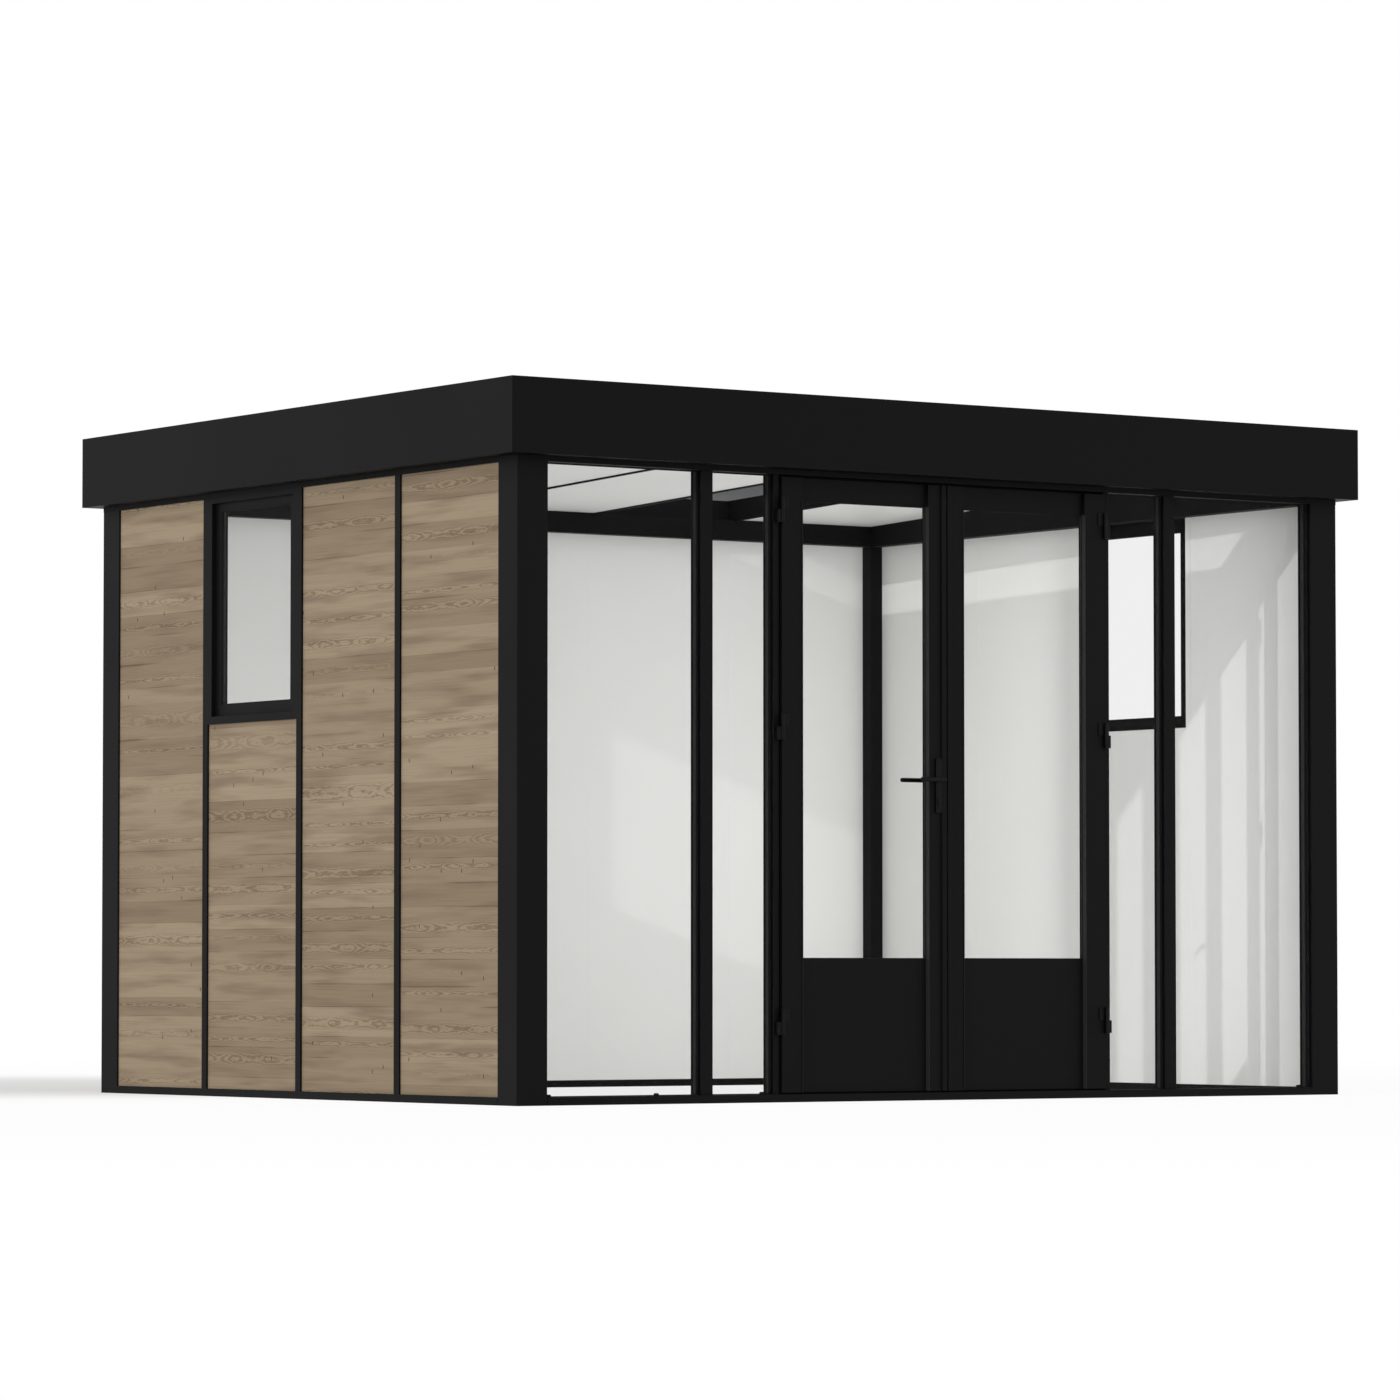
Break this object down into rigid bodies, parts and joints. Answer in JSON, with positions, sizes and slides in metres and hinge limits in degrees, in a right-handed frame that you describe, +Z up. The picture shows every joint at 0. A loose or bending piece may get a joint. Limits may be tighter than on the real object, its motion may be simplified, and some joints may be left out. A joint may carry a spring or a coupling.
{
  "type": "garden office pod",
  "caption": "Flat-roofed garden office with a black aluminium frame, wood-look wall panels, side windows, a glazed front, a roof light and a hinged double door.",
  "frame": {"origin": "under the middle of the pod, at ground level", "axes": "+X along the glazed front to the right as seen from outside, +Y from the front to the back, +Z up"},
  "size_m": [3.78, 3.06, 2.5],
  "materials": {
    "black_aluminium": "fine matt powder coat",
    "wood_look_panel": "matt wood-grain skin outside, white skin inside",
    "clear_glass": "polished float glass",
    "roof_panel": "white coated sheet",
    "gutter_sheet": "mill finish sheet",
    "black_fittings": "satin black"
  },
  "bodies": {
    "building": {"front_base_rail": "black_aluminium", "back_base_rail": "black_aluminium", "side_base_rails": "black_aluminium", "front_left_post": "black_aluminium", "front_right_post": "black_aluminium", "back_left_post": "black_aluminium", "back_right_post": "black_aluminium", "left_wall_profiles": "black_aluminium", "right_wall_profiles": "black_aluminium", "back_wall_profiles": "black_aluminium", "left_window_frame": "black_aluminium", "right_window_frame": "black_aluminium", "front_mullions": "black_aluminium", "door_jambs": "black_aluminium", "front_beam": "black_aluminium", "back_beam": "black_aluminium", "side_beams": "black_aluminium", "roof_profiles": "black_aluminium", "roof_light_curb": "black_aluminium", "front_fascia": "black_aluminium", "back_fascia": "black_aluminium", "left_fascia": "black_aluminium", "right_fascia": "black_aluminium", "left_wall_panels": "wood_look_panel", "right_wall_panels": "wood_look_panel", "back_wall_panels": "wood_look_panel", "left_window_glass": "clear_glass", "right_window_glass": "clear_glass", "front_panes": "clear_glass", "roof_light_glass": "clear_glass", "roof_panels": "roof_panel", "roof_gutter": "gutter_sheet", "jamb_hinges": "black_fittings"},
    "left_door": {"left_door_stiles": "black_aluminium", "left_door_top_rail": "black_aluminium", "left_door_kick_panel": "black_aluminium", "left_door_glass": "clear_glass", "left_door_hinges": "black_fittings", "handle_plates": "black_fittings"},
    "right_door": {"right_door_stiles": "black_aluminium", "right_door_top_rail": "black_aluminium", "right_door_kick_panel": "black_aluminium", "right_door_glass": "clear_glass", "right_door_hinges": "black_fittings"},
    "handle": {"lever_handles": "black_fittings"}
  },
  "joints": [
    {"name": "left_door_hinge", "type": "hinge", "parent": "building", "child": "left_door", "pos_m": [-0.723, -1.48, 0], "axis": [0, 0, -1], "range_deg": [0, 100]},
    {"name": "right_door_hinge", "type": "hinge", "parent": "building", "child": "right_door", "pos_m": [0.723, -1.48, 0], "axis": [0, 0, 1], "range_deg": [0, 100]},
    {"name": "lever_turn", "type": "hinge", "parent": "left_door", "child": "handle", "pos_m": [-0.0375, -1.47, 1.148], "axis": [0, -1, 0], "range_deg": [0, 40], "stiffness_Nm_per_rad": 1.5, "springref_deg": -22.92}
  ]
}
